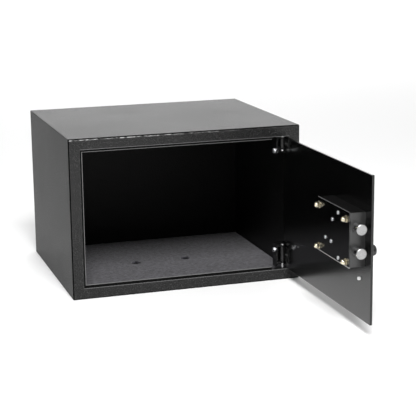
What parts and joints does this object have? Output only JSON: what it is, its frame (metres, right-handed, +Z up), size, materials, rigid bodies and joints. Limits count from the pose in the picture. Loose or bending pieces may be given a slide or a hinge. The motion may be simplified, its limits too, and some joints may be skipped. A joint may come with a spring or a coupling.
{
  "type": "in room safe",
  "caption": "Steel room safe with a side-hung door standing open, a covered lock case with round sliding bolts, an outside keypad panel with a knob, and a felt floor mat.",
  "frame": {"origin": "middle of the body's underside, under the body alone and not under the open door", "axes": "+Z up, +Y into the safe from its front, +X to the hinge side; the door is stored open at 90 degrees and reaches forward along -Y"},
  "size_m": [0.4395, 0.73, 0.29],
  "materials": {
    "black_plastic": "moulded black",
    "board": "green solder mask",
    "body_paint": "textured black powder coat",
    "bracket_steel": "dark plated sheet steel",
    "brass": "bright turned brass",
    "bright_steel": "bright drawn steel",
    "cable_grey": "grey ribbon",
    "case_paint": "satin grey-black paint",
    "cell_jacket": null,
    "chrome": "polished chrome plate",
    "coil_tape": "amber coil tape",
    "cover_metal": "satin black",
    "cover_paint": "satin black paint",
    "door_paint": "smooth satin black powder coat",
    "felt": "needle-punched grey felt",
    "guide_plastic": "black nylon",
    "inner_paint": "fine textured black powder coat",
    "key_plastic": "moulded dark grey, white figures",
    "knob_plastic": "moulded gloss black",
    "lens": "tinted lens",
    "lock_metal": "nickel plated",
    "panel_plastic": "fine spark-eroded texture",
    "white_plastic": "white moulded",
    "window": "smoked red window",
    "zinc": "zinc plated"
  },
  "bodies": {
    "safe_body": {"body_shell": "body_paint", "front_frame": "body_paint", "back_panel": "inner_paint", "door_stop_frame": "inner_paint", "floor_mat": "felt", "lower_frame_bracket": "bracket_steel", "upper_frame_bracket": "bracket_steel", "hinge_pins": "bright_steel", "bracket_bolts": "zinc"},
    "door": {"battery_cells": "cell_jacket", "battery_holder": "black_plastic", "bolt_guides": "guide_plastic", "bolt_switch": "black_plastic", "cover_nuts": "brass", "cover_screws": "zinc", "display_window": "window", "door_panel": "door_paint", "door_studs": "bright_steel", "hinge_leaf_screws": "zinc", "keypad_board": "board", "lock_board": "board", "lock_case": "case_paint", "lock_cover": "cover_paint", "lower_door_hinge": "bracket_steel", "override_barrel": "lock_metal", "panel_housing": "panel_plastic", "panel_screws": "zinc", "plunger_spring": "bright_steel", "reset_switch": "black_plastic", "ribbon_cable": "cable_grey", "solenoid_coil": "coil_tape", "solenoid_frame": "zinc", "spindle_bush": "brass", "status_lights": "lens", "upper_door_hinge": "bracket_steel"},
    "bolt_set": {"locking_bolt_lower": "chrome", "locking_bolt_upper": "chrome", "bolt_screws": "zinc", "bolt_carriage": "zinc"},
    "knob_set": {"knob": "knob_plastic", "knob_spindle": "bright_steel", "crank_arm": "zinc", "crank_clip": "bright_steel"},
    "plunger": {"solenoid_plunger": "bright_steel"},
    "override_turner": {"override_plug": "lock_metal"},
    "drop_cover": {"override_cover": "cover_metal"},
    "reset_push": {"reset_button": "white_plastic"},
    "press_key_0": {"key_0": "key_plastic"},
    "press_key_1": {"key_1": "key_plastic"},
    "press_key_2": {"key_2": "key_plastic"},
    "press_key_3": {"key_3": "key_plastic"},
    "press_key_4": {"key_4": "key_plastic"},
    "press_key_5": {"key_5": "key_plastic"},
    "press_key_6": {"key_6": "key_plastic"},
    "press_key_7": {"key_7": "key_plastic"},
    "press_key_8": {"key_8": "key_plastic"},
    "press_key_9": {"key_9": "key_plastic"},
    "press_key_clear": {"key_clear": "key_plastic"},
    "press_key_lock": {"key_lock": "key_plastic"}
  },
  "joints": [
    {"name": "door_hinge", "type": "hinge", "parent": "safe_body", "child": "door", "pos_m": [0.185, -0.1715, 0.145], "axis": [0, 0, 1], "range_deg": [-90, 4]},
    {"name": "knob_turn", "type": "hinge", "parent": "door", "child": "knob_set", "pos_m": [0.2065, -0.4915, 0.13], "axis": [1, 0, 0], "range_deg": [0, 90]},
    {"name": "bolt_slide", "type": "slide", "parent": "door", "child": "bolt_set", "axis": [0, -1, 0], "range_m": [0, 0.018]},
    {"name": "plunger_slide", "type": "slide", "parent": "door", "child": "plunger", "axis": [0, 0, 1], "range_m": [-0.005, 0], "stiffness_N_per_m": 200, "springref_m": -0.006, "deforming": ["plunger_spring"]},
    {"name": "override_turn", "type": "hinge", "parent": "door", "child": "override_turner", "pos_m": [0.2065, -0.4801, 0.196], "axis": [-1, 0, 0], "range_deg": [0, 90]},
    {"name": "cover_swing", "type": "hinge", "parent": "door", "child": "drop_cover", "pos_m": [0.2075, -0.4801, 0.209], "axis": [-1, 0, 0], "range_deg": [-90, 90]},
    {"name": "reset_press", "type": "slide", "parent": "door", "child": "reset_push", "axis": [1, 0, 0], "range_m": [0, 0.0015], "stiffness_N_per_m": 400},
    {"name": "key_0_press", "type": "slide", "parent": "door", "child": "press_key_0", "axis": [-1, 0, 0], "range_m": [0, 0.0012], "stiffness_N_per_m": 400},
    {"name": "key_1_press", "type": "slide", "parent": "door", "child": "press_key_1", "axis": [-1, 0, 0], "range_m": [0, 0.0012], "stiffness_N_per_m": 400},
    {"name": "key_2_press", "type": "slide", "parent": "door", "child": "press_key_2", "axis": [-1, 0, 0], "range_m": [0, 0.0012], "stiffness_N_per_m": 400},
    {"name": "key_3_press", "type": "slide", "parent": "door", "child": "press_key_3", "axis": [-1, 0, 0], "range_m": [0, 0.0012], "stiffness_N_per_m": 400},
    {"name": "key_4_press", "type": "slide", "parent": "door", "child": "press_key_4", "axis": [-1, 0, 0], "range_m": [0, 0.0012], "stiffness_N_per_m": 400},
    {"name": "key_5_press", "type": "slide", "parent": "door", "child": "press_key_5", "axis": [-1, 0, 0], "range_m": [0, 0.0012], "stiffness_N_per_m": 400},
    {"name": "key_6_press", "type": "slide", "parent": "door", "child": "press_key_6", "axis": [-1, 0, 0], "range_m": [0, 0.0012], "stiffness_N_per_m": 400},
    {"name": "key_7_press", "type": "slide", "parent": "door", "child": "press_key_7", "axis": [-1, 0, 0], "range_m": [0, 0.0012], "stiffness_N_per_m": 400},
    {"name": "key_8_press", "type": "slide", "parent": "door", "child": "press_key_8", "axis": [-1, 0, 0], "range_m": [0, 0.0012], "stiffness_N_per_m": 400},
    {"name": "key_9_press", "type": "slide", "parent": "door", "child": "press_key_9", "axis": [-1, 0, 0], "range_m": [0, 0.0012], "stiffness_N_per_m": 400},
    {"name": "key_clear_press", "type": "slide", "parent": "door", "child": "press_key_clear", "axis": [-1, 0, 0], "range_m": [0, 0.0012], "stiffness_N_per_m": 400},
    {"name": "key_lock_press", "type": "slide", "parent": "door", "child": "press_key_lock", "axis": [-1, 0, 0], "range_m": [0, 0.0012], "stiffness_N_per_m": 400}
  ],
  "couplings": [
    {"joint": "knob_turn", "follows": "bolt_slide", "rad_per_m": 87.266}
  ]
}
